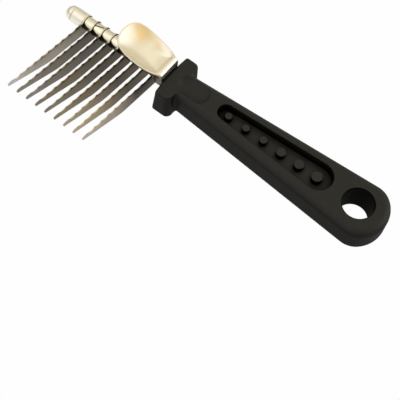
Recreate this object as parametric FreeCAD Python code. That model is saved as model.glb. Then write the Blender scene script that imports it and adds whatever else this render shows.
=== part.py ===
"""Nine-blade mat comb: a moulded grip handle with a screwed blade stack at its head.

Row frame, millimetres: the origin is the centre of the hang hole at mid-thickness of the
handle, +X runs from the blades towards the hang hole end, the blades reach out along -Y and
+Z is the face that carries the thumb rest and the grip studs.
Each physical piece is written to its own STEP file in parts/.
"""
import FreeCAD, Part
import math
import os

V = FreeCAD.Vector
X_AXIS = V(1, 0, 0)

# ---- handle -----------------------------------------------------------------------------
HANDLE_THICK = 16.7          # top face to bottom face
GUARD_FRONT_X = -103.7       # front face of the T-shaped guard at its top edge
GUARD_BACK_X = -95.3
GUARD_HALF_W = 12.0
GUARD_SWEEP = 0.7            # the front's ends lie this far behind its middle
GUARD_LEAN = 7.0             # degrees the front face leans forward towards its foot
GUARD_FRONT_R, GUARD_BACK_R = 1.2, 3.0    # rounding of the guard's corners in plan
GUARD_EDGE_R = 1.1
GUARD_PROUD = 0.1            # the guard stands this far above and below the grip
SEAT_PLAY = 0.25             # room round the thumb rest's collar in its seat in the guard
GRIP_ROOT_X = -94.0          # where the grip's two widths are measured from
NECK_HALF_W = 7.15           # half width of the grip where it meets the guard
TAIL_HALF_W = 13.45          # half width of the grip level with the hang hole
TAIL_END_R = 14.8            # blunt tail, an arc round the hang hole
TAIL_CORNER_R = 10.6         # turns from the sides into the tail
GRIP_EDGE_R = 4.0            # long edges of the grip
WEB_R = 1.5                  # hollow fillets between the guard and the grip
HANG_HOLE_R = 7.2
HANG_HOLE_LIP_R = 0.5
SCOOP_X1, SCOOP_X2 = -92.5, -87.0     # run of the hollow behind the guard
SCOOP_R, SCOOP_DEEP = 8.5, 2.0

# ---- grip insert and its pocket ---------------------------------------------------------
POCKET_X1, POCKET_R1 = -71.5, 4.1     # small end of the tapered pocket
POCKET_X2, POCKET_R2 = -21.2, 7.0     # large end
POCKET_FLOOR_Z = 2.2
POCKET_LIP_R = 0.5
INSERT_THICK = 1.6
INSERT_GAP = 0.45                     # groove left between insert and pocket wall
STUD_X1, STUD_PITCH = -70.0, 9.69
STUD_RADII = (1.8, 1.85, 1.9, 2.3, 2.4, 2.65)
STUD_TOP_Z = (6.7, 6.7, 6.8, 6.9, 7.0, 7.1)
STUD_EDGE_R = 0.35

# ---- spine ------------------------------------------------------------------------------
SPINE_Z = 2.8                # height of the spine's axis over the handle's middle plane
SPINE_R = 2.6
SPINE_FLAT = 2.1             # half distance between the spine's two flats
TANG_END_X = -82.0           # the tang stops short of the grip pocket
TANG_R = 2.6
THREAD_R = 2.0               # M4 end that takes the cap nut
THREAD_CHAMFER = 0.5

# ---- blade stack ------------------------------------------------------------------------
BLADES = 9
BLADE_THICK = 0.7
BLADE_PITCH = 5.4
LAST_BLADE_X = -110.6        # middle of the blade nearest the handle
BLADE_TILT = 9.5             # degrees the blades rise from the handle's middle plane
EYE_R = 3.9
EYE_PLAY = 0.05              # clearance of eyes, spacers and washers on the spine
EDGE_V, BACK_V = 2.0, -6.2   # cutting edge and back, measured across the blade
BEND_U, BEND_R = 26.2, 25.0  # where the back turns towards the tip
TIP_U, TIP_R = 52.6, 1.0
HEEL_U, HEEL_MID, HEEL_END = 1.6, (-1.3, -5.2), (-2.6, -2.9)   # rounded heel under the eye
SCALLOPS, SCALLOP_U0, SCALLOP_PITCH, SCALLOP_DEEP = 9, 8.0, 4.7, 0.9
SCALLOP_LOW = 0.6                    # each scallop is deepest this far along its pitch
GRIND_U0, GRIND_V, GRIND_EDGE = 5.5, 0.6, 0.1      # ground bevel: start, half thickness at edge
GRIND_OVER = 1.5                     # the grinding tool reaches this far past the edge
SPACER_R = 3.45
INNER_WASHER_R = 4.3

# ---- thumb rest -------------------------------------------------------------------------
NECK_LENGTH = 5.4                    # collar under the rear of the rest, along the spine
NECK_R = 4.9
NECK_SIDE_Z = 11.3                   # where the collar's sides reach the rest's rear width
LEAN_FOOT_Z = 10.3                   # the rear wall leans forward from here up to the rim
REST_RIM_X = -105.15                 # rear of the rim
REST_LENGTH = 25.75
REST_REAR_Z, REST_SLOPE, REST_CURL = 12.6, 0.047, 0.0081      # rim height along the rest
REST_OUTLINE = ((0, 6.4), (3.5, 7.65), (7, 8.4), (11, 8.85), (15, 9.05), (18.4, 9.0),
                (21.6, 8.3), (23.4, 6.9), (24.7, 4.9))        # distance from the rear, half width
REST_TIP_HALF_W, REST_TIP_BACK = 2.9, 0.3     # width just behind the tip
REST_BLANK_HALF_W = 11.0             # the uncut blank is wider than the outline
# distance from the rear, thickness of the plate under its middle
BELLY = ((0, 5.8), (4.5, 5.6), (8, 4.4), (13, 3.7), (18, 3.2), (22, 2.4), (26.5, 1.5))
REST_EDGE_THICK = 1.3                # wall under the rim
# distance from the rear, half width and depth of the dish
DISH = ((1.2, 5.0, 0.5), (2.2, 5.9, 1.6), (5, 7.1, 2.0), (9, 7.8, 2.1), (14, 8.2, 2.0),
        (18.4, 8.1, 1.7), (21.6, 7.1, 1.2), (23.8, 5.0, 0.7), (25.0, 2.4, 0.25))
DISH_CUT_RISE = 6.0                  # the dish is cut down from this far above the rim

# ---- end of the stack -------------------------------------------------------------------
SLEEVE_LENGTH, SLEEVE_R = 6.75, 3.95
SLEEVE_EDGE_R = 0.3
CAP_WASHER_THICK, CAP_WASHER_R = 0.5, 3.3
CAP_R, CAP_SKIRT, CAP_DOME = 3.75, 0.8, 3.4
CAP_THREAD_DEPTH = 2.9
THREAD_PLAY = 0.05
THREAD_END_GAP = 0.1         # the thread stops short of the cap's blind end
SEAT_PAST_SLEEVE = 1.0       # the double-D seat stops this far inside the end sleeve

GRIP_TAPER = (TAIL_HALF_W - NECK_HALF_W) / -GRIP_ROOT_X


def rod(radius, x1, x2):
    """Cylinder on the spine's axis from x1 to x2."""
    return Part.makeCylinder(radius, x2 - x1, V(x1, 0, SPINE_Z), X_AXIS)


def double_d(radius, half_flat, x1, x2):
    """Round bar on the spine's axis with a flat above and a flat below."""
    span = 2 * radius + 2
    slab = Part.makeBox(x2 - x1, span, 2 * half_flat, V(x1, -span / 2, SPINE_Z - half_flat))
    return rod(radius, x1, x2).common(slab)


def one(shape):
    """The single solid inside a boolean result."""
    return shape.removeSplitter().Solids[0]


def polygon(points):
    return Part.Face(Part.makePolygon(points + [points[0]]))


def edges_where(shape, test):
    return [e for e in shape.Edges if test(e)]


def is_upright(edge):
    a, b = edge.Vertexes[0].Point, edge.Vertexes[-1].Point
    return abs(a.x - b.x) < 1e-6 and abs(a.y - b.y) < 1e-6 and abs(a.z - b.z) > 1e-3


def lies_flat(edge, z):
    return all(abs(edge.valueAt(p).z - z) < 1e-6
               for p in (edge.FirstParameter, edge.LastParameter))


def grip_half_width(x):
    return NECK_HALF_W + GRIP_TAPER * (x - GRIP_ROOT_X)


def tapered_slot(x1, r1, x2, r2, z1, z2):
    """Upright solid whose plan is two circles joined by their outer tangents."""
    lean = math.asin((r2 - r1) / (x2 - x1))
    def on_circle(x, r, angle):
        return V(x + r * math.cos(angle), r * math.sin(angle), z1)
    up = math.pi / 2 + lean
    a, b = on_circle(x1, r1, up), on_circle(x2, r2, up)
    c, d = on_circle(x2, r2, -up), on_circle(x1, r1, -up)
    wire = Part.Wire([Part.LineSegment(a, b).toShape(),
                      Part.Arc(b, V(x2 + r2, 0, z1), c).toShape(),
                      Part.LineSegment(c, d).toShape(),
                      Part.Arc(d, V(x1 - r1, 0, z1), a).toShape()])
    return Part.Face(wire).extrude(V(0, 0, z2 - z1))


def tail_corner():
    """Centre of the +Y corner arc between a side and the tail's arc, and the side's lean."""
    lean = math.atan(GRIP_TAPER)
    reach = TAIL_END_R - TAIL_CORNER_R
    angle = lean + math.asin((TAIL_HALF_W * math.cos(lean) - TAIL_CORNER_R) / reach)
    return V(reach * math.cos(angle), reach * math.sin(angle), 0), angle, lean


def grip_block(half):
    """Tapered grip from inside the guard to the blunt tail, long edges rounded."""
    centre, turn, lean = tail_corner()
    root_x = (GUARD_FRONT_X + GUARD_BACK_X) / 2

    def corner(angle):
        return centre + V(math.cos(angle), math.sin(angle), 0) * TAIL_CORNER_R

    def across(p):
        return V(p.x, -p.y, p.z)

    side_angle = math.pi / 2 + lean
    root, side = V(root_x, grip_half_width(root_x), 0), corner(side_angle)
    shoulder, meet = corner((side_angle + turn) / 2), corner(turn)
    outline = Part.Wire([Part.LineSegment(root, side).toShape(),
                         Part.Arc(side, shoulder, meet).toShape(),
                         Part.Arc(meet, V(TAIL_END_R, 0, 0), across(meet)).toShape(),
                         Part.Arc(across(meet), across(shoulder), across(side)).toShape(),
                         Part.LineSegment(across(side), across(root)).toShape(),
                         Part.LineSegment(across(root), root).toShape()])
    grip = Part.Face(outline).extrude(V(0, 0, 2 * half))
    grip.translate(V(0, 0, -half))
    long_edges = edges_where(grip, lambda e: (lies_flat(e, half) or lies_flat(e, -half))
                             and e.BoundBox.XMax > GUARD_BACK_X)
    return one(grip.makeFillet(GRIP_EDGE_R, long_edges))


def guard_block(half):
    """T-head of the handle: swept-back front that leans forward towards its foot."""
    foot_x = GUARD_FRONT_X - 2 * half * math.tan(math.radians(GUARD_LEAN))

    def outline(front_x, z):
        near, far = V(front_x + GUARD_SWEEP, -GUARD_HALF_W, z), V(front_x + GUARD_SWEEP,
                                                                  GUARD_HALF_W, z)
        back_far, back_near = V(GUARD_BACK_X, GUARD_HALF_W, z), V(GUARD_BACK_X, -GUARD_HALF_W, z)
        return Part.Wire([Part.Arc(near, V(front_x, 0, z), far).toShape(),
                          Part.LineSegment(far, back_far).toShape(),
                          Part.LineSegment(back_far, back_near).toShape(),
                          Part.LineSegment(back_near, near).toShape()])

    guard = Part.makeLoft([outline(foot_x, -half), outline(GUARD_FRONT_X, half)], True, True)
    middle_x = (GUARD_FRONT_X + GUARD_BACK_X) / 2
    upright = edges_where(guard, lambda e: not lies_flat(e, half) and not lies_flat(e, -half))
    front = [e for e in upright if e.BoundBox.XMin < middle_x]
    guard = guard.makeFillet(GUARD_FRONT_R, front)
    back = edges_where(guard, lambda e: is_upright(e) and e.BoundBox.XMin > middle_x)
    guard = guard.makeFillet(GUARD_BACK_R, back)
    rims = edges_where(guard, lambda e: lies_flat(e, half) or lies_flat(e, -half))
    return guard.makeFillet(GUARD_EDGE_R, rims)


def handle_body():
    half = HANDLE_THICK / 2
    body = one(guard_block(half + GUARD_PROUD).fuse(grip_block(half)))
    body = body.makeFillet(WEB_R, edges_where(body, is_web_corner))
    seat_depth = HANDLE_THICK * math.tan(math.radians(GUARD_LEAN)) + 1
    body = body.cut(collar(GUARD_FRONT_X, GUARD_FRONT_X - seat_depth, SEAT_PLAY))
    body = one(body.cut(thumb_scoop(half)))
    pocket = tapered_slot(POCKET_X1, POCKET_R1, POCKET_X2, POCKET_R2, POCKET_FLOOR_Z, half)
    hole = Part.makeCylinder(HANG_HOLE_R, HANDLE_THICK + 2, V(0, 0, -half - 1))
    body = body.cut(pocket).cut(hole)
    body = body.makeFillet(HANG_HOLE_LIP_R, edges_where(body, lambda e: on_hole_rim(e, half)))
    body = body.makeFillet(POCKET_LIP_R, edges_where(body, lambda e: on_pocket_rim(e, half)))
    tang_hole = double_d(TANG_R, SPINE_FLAT, GUARD_FRONT_X - 1, TANG_END_X)
    return one(body.cut(tang_hole))


def is_web_corner(edge):
    """Edges where the grip's sides run into the back of the guard."""
    box = edge.BoundBox
    return abs(box.XMin - GUARD_BACK_X) < 1e-3 and abs(box.XMax - GUARD_BACK_X) < 1e-3 \
        and max(abs(box.YMin), abs(box.YMax)) < NECK_HALF_W + WEB_R


def thumb_scoop(top_z):
    """Ball-ended groove along the neck: a capsule sunk into the top face."""
    z = top_z + SCOOP_R - SCOOP_DEEP
    left, right = V(SCOOP_X1 - SCOOP_R, 0, z), V(SCOOP_X2 + SCOOP_R, 0, z)
    crest_1, crest_2 = V(SCOOP_X1, 0, z + SCOOP_R), V(SCOOP_X2, 0, z + SCOOP_R)
    step = SCOOP_R / math.sqrt(2)
    outline = Part.Wire([Part.Arc(left, V(SCOOP_X1 - step, 0, z + step), crest_1).toShape(),
                         Part.LineSegment(crest_1, crest_2).toShape(),
                         Part.Arc(crest_2, V(SCOOP_X2 + step, 0, z + step), right).toShape(),
                         Part.LineSegment(right, left).toShape()])
    return Part.Face(outline).revolve(V(0, 0, z), X_AXIS, 360)


def on_hole_rim(edge, half):
    middle = edge.valueAt((edge.FirstParameter + edge.LastParameter) / 2)
    return abs(math.hypot(middle.x, middle.y) - HANG_HOLE_R) < 1e-3 \
        and abs(abs(middle.z) - half) < 1e-6


def on_pocket_rim(edge, half):
    box = edge.BoundBox
    return lies_flat(edge, half) and POCKET_X1 - POCKET_R1 - 0.1 < box.XMin \
        and box.XMax < POCKET_X2 + POCKET_R2 + 0.1 and box.YLength < 2 * POCKET_R2 + 0.1 \
        and abs(box.YMax) < POCKET_R2 + 0.1 and abs(box.YMin) < POCKET_R2 + 0.1


def grip_insert():
    """Strip that lines the pocket's floor, with six studs that grow towards the tail."""
    top = POCKET_FLOOR_Z + INSERT_THICK
    strip = tapered_slot(POCKET_X1, POCKET_R1 - INSERT_GAP, POCKET_X2, POCKET_R2 - INSERT_GAP,
                         POCKET_FLOOR_Z, top)
    studs = []
    for i, (radius, stud_top) in enumerate(zip(STUD_RADII, STUD_TOP_Z)):
        stud = Part.makeCylinder(radius, stud_top - POCKET_FLOOR_Z,
                                 V(STUD_X1 + i * STUD_PITCH, 0, POCKET_FLOOR_Z))
        rim = edges_where(stud, lambda e: lies_flat(e, stud_top))
        studs.append(stud.makeFillet(STUD_EDGE_R, rim))
    return strip.fuse(studs).removeSplitter()


def spine(stack_end_x, thread_end_x):
    """Double-D rod: tang in the handle, seat for the stack, threaded end for the cap."""
    seat_end = stack_end_x + SEAT_PAST_SLEEVE
    bar = double_d(SPINE_R, SPINE_FLAT, seat_end, TANG_END_X)
    thread = rod(THREAD_R, thread_end_x, seat_end + SEAT_PAST_SLEEVE)
    tip = edges_where(thread, lambda e: abs(e.BoundBox.XMax - thread_end_x) < 1e-6)
    return bar.fuse(thread.makeChamfer(THREAD_CHAMFER, tip)).removeSplitter()


def blade_point(u, v):
    """Point of the blade's plan: u from the eye towards the tip, v towards the cutting edge."""
    t = math.radians(BLADE_TILT)
    return V(0, -u * math.cos(t) + v * math.sin(t), SPINE_Z + u * math.sin(t) + v * math.cos(t))


def blade_outline():
    """Wire of the tapered strip with its scalloped cutting edge and rounded tip."""
    p = blade_point
    edges = [Part.LineSegment(p(0, EDGE_V), p(SCALLOP_U0, EDGE_V)).toShape()]
    u = SCALLOP_U0
    for _ in range(SCALLOPS):
        end = u + SCALLOP_PITCH
        low = p(u + SCALLOP_LOW * SCALLOP_PITCH, EDGE_V - SCALLOP_DEEP)
        edges.append(Part.Arc(p(u, EDGE_V), low, p(end, EDGE_V)).toShape())
        u = end
    tip_v = EDGE_V - TIP_R
    slope = math.atan2(tip_v - TIP_R - BACK_V, TIP_U - BEND_U)
    under = p(TIP_U + TIP_R * math.sin(slope), tip_v - TIP_R * math.cos(slope))
    edges += [Part.LineSegment(p(u, EDGE_V), p(TIP_U, EDGE_V)).toShape(),
              Part.Arc(p(TIP_U, EDGE_V), p(TIP_U + TIP_R, tip_v), under).toShape()]
    run = BEND_R * math.tan(slope / 2)
    before = p(BEND_U - run, BACK_V)
    after = p(BEND_U + run * math.cos(slope), BACK_V + run * math.sin(slope))
    half = slope / 2
    middle = p(BEND_U - run + BEND_R * math.sin(half), BACK_V + BEND_R * (1 - math.cos(half)))
    edges += [Part.LineSegment(under, after).toShape(),
              Part.Arc(after, middle, before).toShape(),
              Part.LineSegment(before, p(HEEL_U, BACK_V)).toShape(),
              Part.Arc(p(HEEL_U, BACK_V), p(*HEEL_MID), p(*HEEL_END)).toShape(),
              Part.LineSegment(p(*HEEL_END), p(0, EDGE_V)).toShape()]
    return Part.Wire(edges)


def blade(x):
    """One flat blade centred at x: strip plus round eye, ground on both sides."""
    half = BLADE_THICK / 2
    strip = Part.Face(blade_outline()).extrude(V(BLADE_THICK, 0, 0))
    strip.translate(V(-half, 0, 0))
    body = strip.fuse(rod(EYE_R, -half, half)).removeSplitter()
    lean = (half - GRIND_EDGE) / (EDGE_V - GRIND_V)
    over_v = EDGE_V + GRIND_OVER
    low, high = blade_point(GRIND_U0, GRIND_V), blade_point(GRIND_U0, over_v)
    over_half = half - lean * (over_v - GRIND_V)
    along = blade_point(TIP_U + GRIND_U0, 0) - blade_point(0, 0)
    for side in (1, -1):
        cutter = polygon([low + V(side * half, 0, 0), high + V(side * over_half, 0, 0),
                          high + V(side * 2 * half, 0, 0), low + V(side * 2 * half, 0, 0)])
        body = body.cut(cutter.extrude(along))
    body = body.cut(double_d(SPINE_R + EYE_PLAY, SPINE_FLAT + EYE_PLAY,
                             -BLADE_THICK, BLADE_THICK))
    body.translate(V(x, 0, 0))
    return body


def ring(radius, x1, x2, bore=SPINE_R + EYE_PLAY, edge_r=0.0):
    """Turned ring on the spine from x1 to x2, its outer edges rounded if asked."""
    body = rod(radius, x1, x2)
    if edge_r:
        rims = edges_where(body, lambda e: abs(e.BoundBox.XLength) < 1e-6)
        body = body.makeFillet(edge_r, rims)
    return body.cut(rod(bore, x1 - 1, x2 + 1))


def rim_z(d):
    """Height of the rest's rim at distance d from its rear."""
    return REST_REAR_Z + REST_SLOPE * d + REST_CURL * d * d


def outline_column(rear_x):
    """Upright column with the rest's plan, its straight rear at rear_x."""
    side = [(REST_RIM_X - d, w) for d, w in REST_OUTLINE]
    side.append((REST_RIM_X - REST_LENGTH + REST_TIP_BACK, REST_TIP_HALF_W))
    far = [(REST_RIM_X - REST_LENGTH, 0)]
    loop = side + far + [(x, -w) for x, w in reversed(side)]
    pts = [V(x, y, 0) for x, y in loop]
    curve = Part.BSplineCurve()
    curve.interpolate(pts)
    rear_w = REST_OUTLINE[0][1]
    rear = [V(rear_x, -rear_w, 0), V(rear_x, rear_w, 0)]
    wire = Part.Wire([curve.toShape(), Part.LineSegment(pts[-1], rear[0]).toShape(),
                      Part.LineSegment(rear[0], rear[1]).toShape(),
                      Part.LineSegment(rear[1], pts[0]).toShape()])
    return Part.Face(wire).extrude(V(0, 0, 2 * rim_z(REST_LENGTH)))


def plate_section(d, depth):
    """Cross-section of the rest before dishing: flat top at the rim, bellied underside."""
    x, top = REST_RIM_X - d, rim_z(d)
    w = half_width_at(d)
    edge_z = top - REST_EDGE_THICK
    a, b = V(x, REST_BLANK_HALF_W, top), V(x, REST_BLANK_HALF_W, edge_z + REST_EDGE_THICK / 4)
    c, m = V(x, w, edge_z), V(x, 0, top - depth)

    def flip(q):
        return V(q.x, -q.y, q.z)

    return Part.Wire([Part.LineSegment(a, b).toShape(), Part.LineSegment(b, c).toShape(),
                      Part.Arc(c, m, flip(c)).toShape(),
                      Part.LineSegment(flip(c), flip(b)).toShape(),
                      Part.LineSegment(flip(b), flip(a)).toShape(),
                      Part.LineSegment(flip(a), a).toShape()])


def half_width_at(d):
    """Half width of the rest at distance d, straight between the outline's points."""
    points = REST_OUTLINE + ((REST_LENGTH, REST_TIP_HALF_W),)
    for (d1, w1), (d2, w2) in zip(points, points[1:]):
        if d <= d2:
            return w1 + (w2 - w1) * max(d - d1, 0) / (d2 - d1)
    return REST_TIP_HALF_W


def dish_section(d, half_w, depth):
    x, top = REST_RIM_X - d, rim_z(d)
    high = top + DISH_CUT_RISE
    a, b = V(x, half_w, top), V(x, -half_w, top)
    return Part.Wire([Part.Arc(a, V(x, 0, top - depth), b).toShape(),
                      Part.LineSegment(b, V(x, -half_w, high)).toShape(),
                      Part.LineSegment(V(x, -half_w, high), V(x, half_w, high)).toShape(),
                      Part.LineSegment(V(x, half_w, high), a).toShape()])


def collar(rear_x, front_x, grow=0.0):
    """Block under the rear of the rest that sits on the spine between guard and stack."""
    rear_w, foot_r = REST_OUTLINE[0][1] + grow, NECK_R + grow
    top = [V(front_x, rear_w, NECK_SIDE_Z), V(front_x, rear_w, REST_REAR_Z + 1),
           V(front_x, -rear_w, REST_REAR_Z + 1), V(front_x, -rear_w, NECK_SIDE_Z)]
    foot = [V(front_x, -foot_r, SPINE_Z), V(front_x, foot_r, SPINE_Z)]
    loop = top + foot[:1]
    sides = [Part.LineSegment(loop[i], loop[i + 1]).toShape() for i in range(4)]
    sides.append(Part.Arc(foot[0], V(front_x, 0, SPINE_Z - foot_r), foot[1]).toShape())
    sides.append(Part.LineSegment(foot[1], top[0]).toShape())
    return Part.Face(Part.Wire(sides)).extrude(V(rear_x - front_x, 0, 0))


def thumb_rest(rear_x):
    """Cast thumb rest: spoon-shaped plate that curls up away from a collar on the spine."""
    plate = Part.makeLoft([plate_section(d, t) for d, t in BELLY], True, False)
    plate = plate.common(outline_column(rear_x))
    block = collar(rear_x, rear_x - NECK_LENGTH)
    body = plate.fuse(block).removeSplitter()
    lean_foot = V(rear_x, 0, LEAN_FOOT_Z)
    lean_top = V(REST_RIM_X, 0, REST_REAR_Z)
    beyond = lean_top + (lean_top - lean_foot)
    above = V(rear_x, 0, beyond.z)
    wedge = polygon([lean_foot, beyond, above])
    wedge.translate(V(0, -2 * NECK_R, 0))
    body = body.cut(wedge.extrude(V(0, 4 * NECK_R, 0)))
    body = body.cut(Part.makeLoft([dish_section(*row) for row in DISH], True, False))
    return one(body.cut(rod(SPINE_R + EYE_PLAY, rear_x - NECK_LENGTH - 1, rear_x + 1)))


def end_cap(skirt_x):
    """Domed cap nut: short skirt, rounded dome, blind threaded hole."""
    dome_x = skirt_x - CAP_SKIRT
    ball_r = (CAP_R ** 2 + CAP_DOME ** 2) / (2 * CAP_DOME)
    ball_x = dome_x - CAP_DOME + ball_r
    shoulder = ball_r / math.sqrt(2)
    p = [V(skirt_x, 0, SPINE_Z), V(skirt_x, 0, SPINE_Z + CAP_R), V(dome_x, 0, SPINE_Z + CAP_R),
         V(ball_x - shoulder, 0, SPINE_Z + shoulder), V(ball_x - ball_r, 0, SPINE_Z)]
    wire = Part.Wire([Part.LineSegment(p[0], p[1]).toShape(),
                      Part.LineSegment(p[1], p[2]).toShape(),
                      Part.Arc(p[2], p[3], p[4]).toShape(),
                      Part.LineSegment(p[4], p[0]).toShape()])
    body = Part.Face(wire).revolve(V(0, 0, SPINE_Z), X_AXIS, 360)
    return body.cut(rod(THREAD_R + THREAD_PLAY, skirt_x - CAP_THREAD_DEPTH, skirt_x + 1))


def build():
    """All pieces, keyed by node name, stacked along the spine from the handle outwards."""
    rest_rear = GUARD_FRONT_X
    rest_front = rest_rear - NECK_LENGTH
    half_t = BLADE_THICK / 2
    pieces = {"handle_body": handle_body(), "grip_insert": grip_insert(),
              "thumb_rest": thumb_rest(rest_rear),
              "inner_washer": ring(INNER_WASHER_R, LAST_BLADE_X + half_t, rest_front)}
    for i in range(BLADES):
        x = LAST_BLADE_X - (BLADES - 1 - i) * BLADE_PITCH
        pieces["blade_%d" % (i + 1)] = blade(x)
        if i < BLADES - 1:
            pieces["spacer_%d" % (i + 1)] = ring(SPACER_R, x + half_t,
                                                 x + BLADE_PITCH - half_t)
    sleeve_x2 = LAST_BLADE_X - (BLADES - 1) * BLADE_PITCH - half_t
    sleeve_x1 = sleeve_x2 - SLEEVE_LENGTH
    washer_x1 = sleeve_x1 - CAP_WASHER_THICK
    pieces["end_sleeve"] = ring(SLEEVE_R, sleeve_x1, sleeve_x2, edge_r=SLEEVE_EDGE_R)
    pieces["cap_washer"] = ring(CAP_WASHER_R, washer_x1, sleeve_x1,
                                bore=THREAD_R + THREAD_PLAY)
    pieces["end_cap"] = end_cap(washer_x1)
    thread_end_x = washer_x1 - CAP_THREAD_DEPTH + THREAD_END_GAP
    pieces["spine_rod"] = spine(sleeve_x1, thread_end_x)
    return pieces


def main():
    os.makedirs("parts", exist_ok=True)
    for name, shape in build().items():
        solids = shape.Solids
        whole = solids[0] if len(solids) == 1 else Part.makeCompound(solids)
        print("%-14s solids %d valid %s volume %.1f" %
              (name, len(solids), whole.isValid(), whole.Volume))
        whole.exportStep("parts/%s.step" % name)


main()
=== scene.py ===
"""Blender scene for the nine-blade comb: finishes, stage, light and camera around the CAD frame."""
import math

import bpy
import bmesh
from mathutils import Matrix, Vector


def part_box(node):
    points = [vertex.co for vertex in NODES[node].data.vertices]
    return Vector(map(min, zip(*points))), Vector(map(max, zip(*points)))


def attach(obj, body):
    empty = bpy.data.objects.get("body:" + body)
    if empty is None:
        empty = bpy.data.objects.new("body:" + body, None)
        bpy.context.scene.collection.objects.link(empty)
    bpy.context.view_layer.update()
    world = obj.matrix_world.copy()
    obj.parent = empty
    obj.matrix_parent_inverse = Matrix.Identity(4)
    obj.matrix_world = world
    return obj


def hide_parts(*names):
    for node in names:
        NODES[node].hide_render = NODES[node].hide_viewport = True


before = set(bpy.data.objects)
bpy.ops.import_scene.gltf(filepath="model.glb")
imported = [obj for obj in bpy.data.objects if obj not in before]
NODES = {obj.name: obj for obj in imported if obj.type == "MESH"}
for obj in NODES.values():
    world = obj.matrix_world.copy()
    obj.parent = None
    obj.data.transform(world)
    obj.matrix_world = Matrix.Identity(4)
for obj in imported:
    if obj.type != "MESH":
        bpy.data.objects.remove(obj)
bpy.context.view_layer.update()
MM = 0.001

# ------------------------------------------------------------------ shader graphs


class Graph:
    """Node tree of one material or world, with a short call for each kind of node used."""

    def __init__(self, tree):
        self.nodes, self.links = tree.nodes, tree.links

    def feed(self, socket, value):
        """Links a socket into another, or sets a plain value on it."""
        if isinstance(value, bpy.types.NodeSocket):
            self.links.new(value, socket)
        else:
            socket.default_value = value

    def add(self, kind, inputs, **settings):
        node = self.nodes.new(kind)
        for key, value in settings.items():
            setattr(node, key, value)
        for key, value in inputs.items():
            self.feed(node.inputs[key], value)
        return node

    def position(self):
        return self.add("ShaderNodeTexCoord", {}).outputs["Object"]

    def stretched(self, scale):
        """Position with each axis scaled."""
        inputs = {"Vector": self.position(), "Scale": scale}
        return self.add("ShaderNodeMapping", inputs).outputs["Vector"]

    def split(self, vector):
        return self.add("ShaderNodeSeparateXYZ", {"Vector": vector}).outputs

    def facing(self):
        """X, Y and Z of the shading normal."""
        return self.split(self.add("ShaderNodeNewGeometry", {}).outputs["Normal"])

    def noise(self, vector, scale, detail, roughness=0.55):
        inputs = {"Vector": vector, "Scale": scale, "Detail": detail, "Roughness": roughness}
        return self.add("ShaderNodeTexNoise", inputs).outputs["Fac"]

    def ramp(self, factor, stops):
        node = self.add("ShaderNodeValToRGB", {"Fac": factor})
        elements = node.color_ramp.elements
        while len(elements) < len(stops):
            elements.new(0.5)
        for element, (place, colour) in zip(elements, stops):
            element.position = place
            element.color = (*colour, 1)
        return node.outputs["Color"]

    def remap(self, value, low, high):
        """0 to 1 becomes low to high."""
        inputs = {"Value": value, "To Min": low, "To Max": high}
        return self.add("ShaderNodeMapRange", inputs).outputs["Result"]

    def between(self, value, start, end, top=1.0):
        """0 at start, top at end, straight."""
        inputs = {"Value": value, "From Min": start, "From Max": end, "To Max": top}
        return self.add("ShaderNodeMapRange", inputs).outputs["Result"]

    def ease(self, value, start, end):
        """0 at start, 1 at end, eased."""
        inputs = {"Value": value, "From Min": start, "From Max": end}
        node = self.add("ShaderNodeMapRange", inputs, interpolation_type="SMOOTHSTEP")
        return node.outputs["Result"]

    def math(self, operation, first, second):
        """Sum, difference, product or larger of two values, kept within 0 and 1."""
        node = self.add("ShaderNodeMath", {0: first, 1: second}, operation=operation,
                        use_clamp=True)
        return node.outputs[0]

    def mix(self, blend, factor, first, second):
        node = self.add("ShaderNodeMix", {}, data_type="RGBA", blend_type=blend,
                        clamp_result=False, clamp_factor=True)
        for socket, value in ((0, factor), (6, first), (7, second)):
            self.feed(node.inputs[socket], value)
        return node.outputs[2]

    def bump(self, height, strength, distance):
        inputs = {"Height": height, "Strength": strength, "Distance": distance}
        return self.add("ShaderNodeBump", inputs).outputs["Normal"]


def new_material(name):
    mat = bpy.data.materials.new(name)
    mat.use_nodes = True
    graph = Graph(mat.node_tree)
    graph.nodes.clear()
    bsdf = graph.add("ShaderNodeBsdfPrincipled", {})
    graph.add("ShaderNodeOutputMaterial", {"Surface": bsdf.outputs["BSDF"]})
    return mat, graph, bsdf


def finish_surface(graph, bsdf, colour, roughness, normal):
    graph.feed(bsdf.inputs["Base Color"], colour)
    graph.feed(bsdf.inputs["Roughness"], roughness)
    graph.feed(bsdf.inputs["Normal"], normal)


# ------------------------------------------------------------------ materials

CORNER_SHADE_REACH = 6 * MM                     # painted shade darkens corners within this distance
HOLE_R, HOLE_FADE = 7.3 * MM, 0.6 * MM    # inside the hang hole hardly any light arrives
UNLIT_PLASTIC, UNLIT_SHINE = (0.0016, 0.0016, 0.0015, 1), 0.02
SHADED_NICKEL = (0.10, 0.092, 0.05, 1)
EYE_HIGHLIGHT = (0.80, 0.75, 0.60, 1)           # painted highlight on the upward faces round each blade's eye
EYE_HIGHLIGHT_Y = (-4.2 * MM, -3.4 * MM)        # the painted highlight fades in between these
BLADE_ROOT_Y, BLADE_TIP_Y = -4 * MM, -52 * MM
BLADE_ROUGH = 0.34
GRIND_SCALE = (400, 60, 5000)             # finest across a blade's face: the marks run along it
STREAK_SHARES = (0.86, 1.1)               # darkest and lightest streak against a blade's tone


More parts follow.
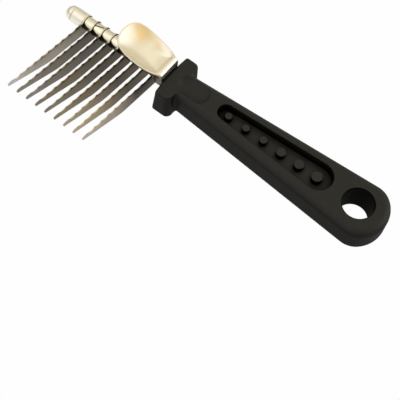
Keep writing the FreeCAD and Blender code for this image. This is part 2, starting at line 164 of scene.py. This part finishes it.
def moulded_plastic(name, low, high, rough, shine, side):
    """Black moulded plastic: spark-eroded grain, soft clouding; painted shade in corners, in the
    hang hole and on sideways faces (side is the colour share kept there), which also dims its
    shine.
    """
    mat, g, bsdf = new_material(name)
    grain = g.noise(g.position(), scale=2100, detail=3, roughness=0.7)
    cloud = g.noise(g.position(), scale=140, detail=4)
    tone = g.ramp(cloud, [(0.3, low), (0.7, high)])
    speck = g.ramp(grain, [(0.35, (0.75, 0.75, 0.75)), (0.7, (1.35, 1.34, 1.32))])
    corner = g.add("ShaderNodeAmbientOcclusion", {"Distance": CORNER_SHADE_REACH}, samples=8)
    open_air = g.ease(corner.outputs["AO"], start=0.25, end=0.8)
    flat = g.add("ShaderNodeMapping", {"Vector": g.position(), "Scale": (1, 1, 0)},
                 vector_type="VECTOR")
    from_hole = g.add("ShaderNodeVectorMath", {0: flat.outputs["Vector"]}, operation="LENGTH")
    outside_hole = g.ease(from_hole.outputs["Value"], HOLE_R, HOLE_R + HOLE_FADE)
    upward = g.ease(g.facing()[2], start=0.0, end=0.8)
    lit = g.math("MULTIPLY", g.math("MULTIPLY", open_air, outside_hole),
                 g.remap(upward, side, 1.0))
    body = g.mix("MULTIPLY", 1.0, tone, speck)
    g.feed(bsdf.inputs["Specular IOR Level"], g.remap(lit, UNLIT_SHINE, shine))
    finish_surface(g, bsdf, g.mix("MIX", lit, UNLIT_PLASTIC, body),
                   g.remap(cloud, rough - 0.05, rough + 0.07),
                   g.bump(grain, strength=0.5, distance=0.16 * MM))
    return mat


def mottled_shade(g, amount, unshaded_metal):
    """Painted shade: mottled dark olive over the metal wherever it faces sideways or down."""
    mottle = g.ramp(g.noise(g.position(), scale=900, detail=3, roughness=0.6),
                    [(0.38, (0.06, 0.05, 0.03)), (0.62, (0.30, 0.27, 0.18))])
    upward = g.ease(g.facing()[2], start=-0.05, end=0.42)
    return g.mix("MIX", g.math("MAXIMUM", upward, 1 - amount), mottle, unshaded_metal)


def eye_shadow(g):
    """Mask of the crescent that each blade's eye shades on the -Y side of the next spacer."""
    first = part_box("spacer_1")[0].x
    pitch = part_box("spacer_2")[0].x - first
    wrap = g.add("ShaderNodeMath", {0: g.split(g.position())[0], 1: first + pitch, 2: first},
                 operation="WRAP")
    along = g.between(wrap.outputs[0], first, first + pitch, top=0.8)
    facing = g.facing()
    down = g.math("SUBTRACT", 1.0, facing[2])
    past = g.math("SUBTRACT", down, along)
    return g.math("MULTIPLY", g.ease(past, start=0.05, end=0.17),
                  g.ease(facing[1], start=0.0, end=-0.25))


def plated_nickel(name, low, high, rough, side_and_under_shade=0.0, shadow=False):
    """Polished nickel plate: warm tint and slight waviness, with painted shade on sideways and
    downward faces, and the painted eye shadow, if asked.
    """
    mat, g, bsdf = new_material(name)
    wave = g.noise(g.position(), scale=140, detail=2)
    tint = g.ramp(wave, [(0.35, low), (0.65, high)])
    if side_and_under_shade:
        tint = mottled_shade(g, side_and_under_shade, tint)
    if shadow:
        tint = g.mix("MIX", eye_shadow(g), tint, SHADED_NICKEL)
    bsdf.inputs["Metallic"].default_value = 1.0
    finish_surface(g, bsdf, tint, g.remap(wave, rough * 0.9, rough * 1.1),
                   g.bump(wave, strength=0.05, distance=0.6 * MM))
    return mat


def painted_light_along_blade(g, y, root):
    """Painted light along a blade: painted shade near its eye and painted brightness towards its
    tip; root is the share of brightness left near the eye.
    """
    warm, near_white = (1, 0.97, 0.93), (1, 0.98, 0.95)
    stops = [(0.0, [(0.22 + 0.33 * root) * c for c in warm]),
             (0.26, [0.77 * root * c for c in warm]),
             (0.45, [0.97 * (0.6 + 0.4 * root) * c for c in near_white]),
             (0.6, (1.10, 1.10, 1.10)), (1.0, (1.70, 1.74, 1.88))]
    return g.ramp(g.between(y, BLADE_ROOT_Y, BLADE_TIP_Y), stops)


def ground_steel(name, low, high, root):
    """Satin stainless blade steel: grinding lines along the blade, painted shade near its root,
    painted brightness towards its tip and a painted highlight on upward faces by its eye.
    """
    mat, g, bsdf = new_material(name)
    lines = g.noise(g.stretched(GRIND_SCALE), scale=1, detail=3)
    cloud = g.noise(g.position(), scale=90, detail=3)
    streaks = g.math("ADD", g.remap(lines, -0.2, 0.2), cloud)
    y = g.split(g.position())[1]
    lit_streaks = g.mix("MULTIPLY", 1.0, g.ramp(streaks, [(0.3, low), (0.7, high)]),
                  painted_light_along_blade(g, y, root))
    upward = g.ease(g.facing()[2], start=0.3, end=0.7)
    eye_highlight_mask = g.math("MULTIPLY", upward, g.ease(y, *EYE_HIGHLIGHT_Y))
    bsdf.inputs["Metallic"].default_value = 1.0
    finish_surface(g, bsdf, g.mix("MIX", eye_highlight_mask, lit_streaks, EYE_HIGHLIGHT),
                   g.remap(lines, BLADE_ROUGH - 0.08, BLADE_ROUGH + 0.1),
                   g.bump(lines, strength=0.15, distance=0.04 * MM))
    return mat


BLACK = moulded_plastic("black_moulding", (0.0100, 0.0100, 0.0099), (0.0135, 0.0134, 0.0130),
                        rough=0.50, shine=0.34, side=0.42)
RUBBER = moulded_plastic("black_insert", (0.0120, 0.0120, 0.0110), (0.0165, 0.0163, 0.0150),
                         rough=0.52, shine=0.38, side=0.12)
WARM_NICKEL = ((0.91, 0.87, 0.73), (0.96, 0.93, 0.81))
NICKEL = plated_nickel("warm_nickel", *WARM_NICKEL, 0.20)
SPACER = plated_nickel("spacer_nickel", *WARM_NICKEL, 0.20, shadow=True)
CAP = plated_nickel("cap_nickel", (0.94, 0.91, 0.80), (0.97, 0.95, 0.86), 0.34)
# the spoon gets painted shade, mottled dark olive, on its sideways and downward faces
SPOON = plated_nickel("spoon_nickel", (0.92, 0.87, 0.73), (0.95, 0.91, 0.79), 0.29, side_and_under_shade=0.95)
# the rod is painted much darker than bare metal, as painted shade inside the spacers' seams
ROD = plated_nickel("turned_rod", (0.26, 0.25, 0.22), (0.36, 0.34, 0.31), 0.30)

# each blade has its own tone: brightness, from grinding and partly painted reflection, warmth, and
# brightness near its root under painted shade
BLADE_TONES = ((1.45, 0.38, 1.1), (0.70, 0.60, 1.0), (0.69, 0.45, 1.0), (0.65, 0.94, 0.95),
               (0.64, 0.73, 0.68), (0.68, 1.05, 0.62), (1.0, 0.82, 0.45), (1.15, 0.94, 0.36),
               (1.42, 0.62, 0.33))
COOL_STEEL, WARM_STEEL = (0.43, 0.43, 0.44), (0.47, 0.39, 0.26)


def blade_steel(index):
    bright, warm, root = BLADE_TONES[index - 1]
    tone = [bright * (c + (w - c) * warm) for c, w in zip(COOL_STEEL, WARM_STEEL)]
    low, high = ([share * v for v in tone] for share in STREAK_SHARES)
    return ground_steel("blade_steel_%d" % index, low, high, root)


FINISHES = {"handle_body": BLACK, "grip_insert": RUBBER, "spine_rod": ROD, "end_cap": CAP,
            "end_sleeve": CAP}

for name, obj in NODES.items():
    obj.data.materials.clear()
    if name.startswith("blade_"):
        finish = blade_steel(int(name.split("_")[1]))
    else:
        finish = FINISHES.get(name, NICKEL)
    obj.data.materials.append(finish)

# ------------------------------------------------------------------ mesh helpers

WELD_WITHIN = 1e-7                        # points closer than this are one, m


def mesh_object(name, bm):
    """Turns a bmesh in metres into an object with its faces turned outwards."""
    bmesh.ops.recalc_face_normals(bm, faces=bm.faces)
    mesh = bpy.data.meshes.new(name)
    bm.to_mesh(mesh)
    bm.free()
    obj = bpy.data.objects.new(name, mesh)
    bpy.context.collection.objects.link(obj)
    return obj


def new_piece(name, bm, material, node, flat_angle=35.0):
    """Makes a nickel-slot piece on the comb that stands for one CAD node."""
    bmesh.ops.remove_doubles(bm, verts=bm.verts, dist=WELD_WITHIN)
    piece = mesh_object(name, bm)
    piece.data.materials.append(material)
    smooth_by_angle(piece, flat_angle)
    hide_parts(node)
    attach(piece, "comb")


def smooth_by_angle(piece, degrees):
    """Smooth shading with hard edges where faces meet more sharply than the angle."""
    mesh = piece.data
    mesh.shade_smooth()
    bm = bmesh.new()
    bm.from_mesh(mesh)
    for edge in bm.edges:
        edge.smooth = len(edge.link_faces) == 2 and edge.calc_face_angle() < math.radians(degrees)
    bm.to_mesh(mesh)
    bm.free()


def skin(bm, rings):
    """Quads between neighbouring rings of points; both ends are left open."""
    grid = [[bm.verts.new(p) for p in ring] for ring in rings]
    for a, b in zip(grid, grid[1:]):
        for j in range(len(a)):
            k = (j + 1) % len(a)
            bm.faces.new((a[j], a[k], b[k], b[j]))
    return grid


def arc_points(centre, radius, start, end, steps):
    """Points of a circular arc in a plane, angles in degrees."""
    points = []
    for i in range(steps + 1):
        a = math.radians(start + (end - start) * i / steps)
        points.append((centre[0] + radius * math.cos(a), centre[1] + radius * math.sin(a)))
    return points


def apply_modifier(piece, modifier):
    """Bakes one modifier of a piece into its mesh."""
    bpy.context.view_layer.update()
    graph = bpy.context.evaluated_depsgraph_get()
    baked = bpy.data.meshes.new_from_object(piece.evaluated_get(graph))
    piece.modifiers.remove(modifier)
    piece.data = baked


def combine(target, tool, operation):
    modifier = target.modifiers.new("join", "BOOLEAN")
    modifier.operation = operation
    modifier.solver = "EXACT"
    modifier.object = tool
    apply_modifier(target, modifier)
    bpy.data.objects.remove(tool)


# ------------------------------------------------------------------ rolled spacers

BORE_R = 2.65 * MM
SEAM_GAP = 10.0           # degrees left open where the rolled sheet's ends meet
SLEEVE_EDGE = 0.22 * MM   # rounding of the sleeves' end edges
SLEEVE_STEPS, EDGE_STEPS = 84, 4          # round the tube, and round each end edge
SLEEVE_MIDDLE = (0.3, 0.5, 0.7)           # points between the end edges, share of the length
# seam angle from the top towards -Y at the middle of each spacer, and its slant, in degrees
SEAMS = ((150, 12), (-4, -26), (200, 10), (168, -8), (190, 14), (156, 9), (212, -12), (176, 8))


def sleeve_section(low, high):
    """Cross-section of a sleeve's wall as (x, radius): rounded outer corners, plain bore."""
    radius, length, e = (high.y - low.y) / 2, high.x - low.x, SLEEVE_EDGE
    loop = [(low.x + e + x, radius - e + r) for x, r in arc_points((0, 0), e, 180, 90, EDGE_STEPS)]
    loop += [(low.x + length * t, radius) for t in SLEEVE_MIDDLE]
    loop += [(high.x - e + x, radius - e + r) for x, r in arc_points((0, 0), e, 90, 0, EDGE_STEPS)]
    return loop + [(high.x, BORE_R), (low.x, BORE_R)]


def rolled_sleeve(node, seam, slant):
    """Short tube rolled from sheet: rounded ends and an open slanting seam."""
    low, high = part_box(node)
    z = (high.z + low.z) / 2
    rings = []
    for i in range(SLEEVE_STEPS + 1):
        ring = []
        for x, r in sleeve_section(low, high):
            lean = slant * ((x - low.x) / (high.x - low.x) - 0.5)
            turn = seam + lean + SEAM_GAP / 2 + (360 - SEAM_GAP) * i / SLEEVE_STEPS
            a = math.radians(turn)
            ring.append((x, -r * math.sin(a), z + r * math.cos(a)))
        rings.append(ring)
    bm = bmesh.new()
    grid = skin(bm, rings)
    bm.faces.new(list(reversed(grid[0])))
    bm.faces.new(grid[-1])
    new_piece("rolled_" + node, bm, SPACER, node)


for number, (seam, slant) in enumerate(SEAMS, 1):
    rolled_sleeve("spacer_%d" % number, seam, slant)

# ------------------------------------------------------------------ thumb rest

# distances along the rest (d) run from the rear of its rim towards its tip, in mm
REST_LOW, REST_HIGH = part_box("thumb_rest")
REST_LENGTH, HEEL_D = 25.75, 0.35
RIM_X = REST_LOW.x + REST_LENGTH * MM
RIM_REAR_Z, RIM_SLOPE, RIM_CURL = 12.6, 0.047, 0.0081     # rim height in mm at distance d
DISH_DEEP, WALL = 2.1, 1.25               # mm
BELLY_DEEP = 2.0                          # belly below the wall, mm
HUB_D = 12.5                              # the rings shrink towards this distance
RING_POINTS, DISH_RINGS, BELLY_RINGS = 144, 26, 14
DISH_SHARE = 0.945                        # the dish ends at this share of the outline
DISH_POWER, HEEL_POWER = 2.3, 3.2         # fall of the dish, and what its rear adds to it
RING_CROWDING = 0.85                      # below 1: rings lie closer together at the rim
BELLY_SHARE, BELLY_POWER = 0.98, 2.2      # widest ring of the belly, and its roundness
CURVE_STEPS = 24                          # between two corners of the outline
# half outline of the rest: distance d and half width, mm
REST_SIDE = ((HEEL_D, 5.4), (0.6, 6.25), (1.4, 6.85), (3.5, 7.65), (7, 8.4), (11, 8.85),
             (15, 9.04), (18.4, 8.95), (21.6, 8.2), (23.5, 6.85), (24.8, 4.9), (25.5, 2.6))
# rounded rim: share of the outline, drop below the rim's height in mm
RIM_ROLL = ((0.958, -0.02), (0.972, 0.0), (0.986, 0.06), (0.995, 0.2), (1.0, 0.42), (1.0, 0.8),
            (0.992, 1.08))
COLLAR_FRONT_X, COLLAR_REAR_X = REST_HIGH.x - 5.4 * MM, REST_HIGH.x
REAR_GAP = 0.02 * MM                      # the plate stops short of the collar's rear face
WALL_FOOT_Z = 11.1 * MM
WALL_PAST_RIM = 0.35 * MM                 # how far in front of the rim the wall's line starts
HEEL_FADE = 0.9                           # the wall's slope fades out over this distance, mm
COLLAR_EDGE, COLLAR_EDGE_STEPS, COLLAR_EDGE_ANGLE = 0.35 * MM, 3, 50   # bevelled corners
FOOT_STEPS, BORE_POINTS = 10, 64
# collar's flare: half width, height above the spine, mm
COLLAR_FLARE = ((5.35, 2.6), (5.9, 5.4), (6.3, 7.6))
COLLAR_HALF_W = COLLAR_FLARE[-1][0]
# collar's top, kept under the dish: distance d, height, mm; the last one is its front face
COLLAR_TOP = ((0.2, 12.45), (1.0, 11.9), (2.5, 11.1), (5.0, 10.4))


def rim_height(d):
    return RIM_REAR_Z + RIM_SLOPE * d + RIM_CURL * d * d


def spine_height():
    low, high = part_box("spine_rod")
    return (low.z + high.z) / 2


def wall_lean():
    """Run of the sloping rear wall for each unit that it falls."""
    return (COLLAR_REAR_X - RIM_X + WALL_PAST_RIM) / (RIM_REAR_Z * MM - WALL_FOOT_Z)


def catmull_rom(points, steps):
    """Closed Catmull-Rom curve through the points."""
    curve = []
    n = len(points)
    for i in range(n):
        p0, p1, p2, p3 = (Vector(points[(i + k - 1) % n]) for k in range(4))
        for step in range(steps):
            t = step / steps
            curve.append(0.5 * (2 * p1 + (p2 - p0) * t + (2 * p0 - 5 * p1 + 4 * p2 - p3) * t ** 2
                                + (3 * p1 - p0 - 3 * p2 + p3) * t ** 3))
    return curve


def even_steps(curve, count):
    """Points at equal distances along a closed curve."""
    lengths = [0.0]
    for a, b in zip(curve, curve[1:] + curve[:1]):
        lengths.append(lengths[-1] + (b - a).length)
    points, j = [], 0
    for i in range(count):
        want = lengths[-1] * i / count
        while lengths[j + 1] < want:
            j += 1
        share = (want - lengths[j]) / (lengths[j + 1] - lengths[j])
        points.append(curve[j].lerp(curve[(j + 1) % len(curve)], share))
    return points


def rest_outline():
    right = [(d, -w) for d, w in reversed(REST_SIDE)]
    corners = [(HEEL_D, 0.0), *REST_SIDE, (REST_LENGTH, 0.0), *right]
    return even_steps(catmull_rom(corners, CURVE_STEPS), RING_POINTS)


def ring_row(outline, scale, drop):
    """One ring of the rest: the outline shrunk towards the hub and lowered by drop(s, rearward).

    Rings outside the dish also slide back as they fall, along the slope of the rear wall.
    """
    row = []
    for out_d, out_y in outline:
        d = HUB_D + (out_d - HUB_D) * scale
        fall = drop(scale, max(0.0, (HUB_D - out_d) / HUB_D))
        x = RIM_X - d * MM
        if scale > DISH_SHARE:
            heel = max(0.0, 1.0 - (out_d - HEEL_D) / HEEL_FADE)
            x += max(0.0, fall) * MM * wall_lean() * heel
        row.append((min(x, COLLAR_REAR_X - REAR_GAP), out_y * scale * MM,
                    (rim_height(d) - fall) * MM))
    return row


def dish_drop(scale, rearward):
    """Depth of the spoon: parabolic to the sides and tip, steeper against the rear wall."""
    s = min(1.0, scale / DISH_SHARE)
    return DISH_DEEP * (1 - s ** (DISH_POWER + HEEL_POWER * rearward ** 2))


def belly_drop(scale, _rearward):
    """Depth of the underside below the rim."""
    return WALL + BELLY_DEEP * (1 - scale ** BELLY_POWER)


def spoon_plate():
    """Dished plate: hollow, rounded rim and belly as one closed skin."""
    outline = rest_outline()
    rows = [ring_row(outline, DISH_SHARE * (i / DISH_RINGS) ** RING_CROWDING, dish_drop)
            for i in range(1, DISH_RINGS + 1)]
    for scale, drop in RIM_ROLL:
        rows.append(ring_row(outline, scale, lambda s, r, drop=drop: drop))
    for i in range(1, BELLY_RINGS + 1):
        scale = BELLY_SHARE * (1 - i / (BELLY_RINGS + 1))
        rows.append(ring_row(outline, scale, belly_drop))
    bm = bmesh.new()
    grid = skin(bm, rows)
    bm.faces.new(grid[0])
    bm.faces.new(list(reversed(grid[-1])))
    return bm


def collar_block():
    """Collar on the spine: half-round foot, flared sides, its top under the spoon's hollow."""
    z0 = spine_height()
    side = [(y, z0 + z) for y, z in arc_points((0, 0), z0 - REST_LOW.z, -90, 0, FOOT_STEPS)]
    side += [(y * MM, z0 + z * MM) for y, z in COLLAR_FLARE]
    loops = []
    for d, top_z in COLLAR_TOP:
        half = side + [(COLLAR_HALF_W * MM, top_z * MM)]
        loops.append((d, half + [(-y, z) for y, z in reversed(half[1:])]))
    rear, front = loops[0][1], loops[-1][1]
    rows = [[(COLLAR_REAR_X - wall_lean() * max(0.0, z - WALL_FOOT_Z), y, z) for y, z in rear]]
    rows += [[(RIM_X - d * MM, y, z) for y, z in loop] for d, loop in loops[1:-1]]
    rows += [[(COLLAR_FRONT_X, y, z) for y, z in front]]
    bm = bmesh.new()
    grid = skin(bm, rows)
    bm.faces.new(grid[0])
    bm.faces.new(list(reversed(grid[-1])))
    return bm


def collar_bore():
    """Plain cylinder that reaches past both faces of the collar."""
    z0 = spine_height()
    circle = arc_points((0, 0), BORE_R, 0, 360 - 360 / BORE_POINTS, BORE_POINTS - 1)
    ends = [[(x, y, z0 + z) for y, z in circle]
            for x in (COLLAR_FRONT_X - MM, COLLAR_REAR_X + MM)]
    bm = bmesh.new()
    grid = skin(bm, ends)
    bm.faces.new(list(reversed(grid[0])))
    bm.faces.new(grid[1])
    return bm


def thumb_rest():
    plate = mesh_object("rest_plate", spoon_plate())
    collar = mesh_object("rest_collar", collar_block())
    bevel = collar.modifiers.new("edges", "BEVEL")
    bevel.width, bevel.segments, bevel.limit_method = COLLAR_EDGE, COLLAR_EDGE_STEPS, "ANGLE"
    bevel.angle_limit = math.radians(COLLAR_EDGE_ANGLE)
    apply_modifier(collar, bevel)
    combine(plate, collar, "UNION")
    combine(plate, mesh_object("rest_bore", collar_bore()), "DIFFERENCE")
    bm = bmesh.new()
    bm.from_mesh(plate.data)
    bpy.data.objects.remove(plate)
    new_piece("spoon_rest", bm, SPOON, "thumb_rest", flat_angle=32)


thumb_rest()

# ------------------------------------------------------------------ stage, light, camera

FLOOR_Z, FLOOR_HALF = -0.060, 2.0
FLOOR_SEEN = (0.99, 0.99, 0.99, 1)
FLOOR_MIRRORED = (0.42, 0.41, 0.39, 1)      # radiance of the floor in reflections: dim, a painted shadow under the comb
FLOOR_PAST_CAP = (0.90, 0.89, 0.85, 1)      # the same beyond the comb's end, out of the painted shadow
FLOOR_TURN = (-0.155, -0.130)               # x where one turns into the other
# linear radiance of the dome from straight down (0) to straight up (1)
DOME = [(0.0, (0.10, 0.10, 0.10)), (0.48, (0.20, 0.195, 0.19)), (0.60, (0.34, 0.33, 0.31)),
        (0.80, (0.56, 0.54, 0.50)), (1.0, (0.70, 0.68, 0.62))]
# direction, full inside, gone outside (degrees), linear colour
PANELS = (
    ((-0.33, -0.30, 0.90), 16, 48, (1.12, 1.08, 0.99, 1)),
    ((-0.55, 0.45, 0.70), 10, 34, (0.85, 0.78, 0.62, 1)),
    ((0.05, 0.83, 0.55), 14, 40, (0.71, 0.635, 0.48, 1)),
    ((0.08, 0.42, 0.90), 4, 22, (0.98, 0.92, 0.76, 1)),
    ((0.66, 0.44, 0.60), 8, 24, (1.20, 1.18, 1.12, 1)),
    ((0.25, -0.30, 0.92), 6, 22, (0.80, 0.59, 0.31, 1)),
    ((0.52, 0.08, 0.85), 6, 24, (0.94, 0.66, 0.27, 1)),
    ((0.80, 0.60, 0.05), 14, 34, (2.0, 2.0, 2.0, 1)),
    ((-0.35, -0.93, -0.02), 12, 36, (0.85, 0.84, 0.77, 1)),
)
EYE = Vector((0.03845, -0.18975, 0.37825))
LOOK_AT = Vector((-0.05619, -0.03845, 0.0))
ROLL = math.radians(6.30)
LENS, SENSOR = 86.07, 36.0                  # mm


def pale_floor():
    """Evenly lit pale floor; in the metal it shows dimmer, a painted shadow under the comb, except
    beyond the comb's end.
    """
    mesh = bpy.data.meshes.new("floor")
    h, z = FLOOR_HALF, FLOOR_Z
    mesh.from_pydata([(-h, -h, z), (h, -h, z), (h, h, z), (-h, h, z)], [], [(0, 1, 2, 3)])
    floor = bpy.data.objects.new("floor", mesh)
    bpy.context.collection.objects.link(floor)
    mat = bpy.data.materials.new("floor")
    mat.use_nodes = True
    g = Graph(mat.node_tree)
    g.nodes.clear()
    turn = g.ease(g.split(g.position())[0], *FLOOR_TURN)
    shade = g.mix("MIX", turn, FLOOR_PAST_CAP, FLOOR_MIRRORED)
    mirrored = g.add("ShaderNodeEmission", {"Color": shade})
    seen = g.add("ShaderNodeEmission", {"Color": FLOOR_SEEN})
    path = g.add("ShaderNodeLightPath", {})
    both = g.add("ShaderNodeMixShader", {0: path.outputs["Is Camera Ray"],
                                         1: mirrored.outputs["Emission"],
                                         2: seen.outputs["Emission"]})
    g.add("ShaderNodeOutputMaterial", {"Surface": both.outputs["Shader"]})
    mesh.materials.append(mat)


def studio_world():
    """Soft dome: pale overhead, dim at the horizon, with broad coloured panels."""
    world = bpy.data.worlds.new("studio")
    world.use_nodes = True
    g = Graph(world.node_tree)
    direction = g.add("ShaderNodeTexCoord", {}).outputs["Generated"]
    colour = g.ramp(g.between(g.split(direction)[2], -1.0, 1.0), DOME)
    for place, inner, outer, panel in PANELS:
        dot = g.add("ShaderNodeVectorMath", {0: direction, 1: Vector(place).normalized()},
                    operation="DOT_PRODUCT")
        inside = g.ease(dot.outputs["Value"], math.cos(math.radians(outer)),
                        math.cos(math.radians(inner)))
        colour = g.mix("MIX", inside, colour, panel)
    g.feed(g.nodes["Background"].inputs["Color"], colour)
    bpy.context.scene.world = world


def photo_camera():
    camera = bpy.data.objects.new("camera", bpy.data.cameras.new("camera"))
    bpy.context.collection.objects.link(camera)
    camera.data.lens, camera.data.sensor_width = LENS, SENSOR
    camera.data.clip_start, camera.data.clip_end = 0.01, 20.0
    aim = (LOOK_AT - EYE).to_track_quat("-Z", "Y").to_matrix().to_4x4()
    camera.matrix_world = Matrix.Translation(EYE) @ aim @ Matrix.Rotation(ROLL, 4, "Z")
    bpy.context.scene.camera = camera


pale_floor()
studio_world()
photo_camera()
bpy.context.scene.view_settings.view_transform = "Standard"
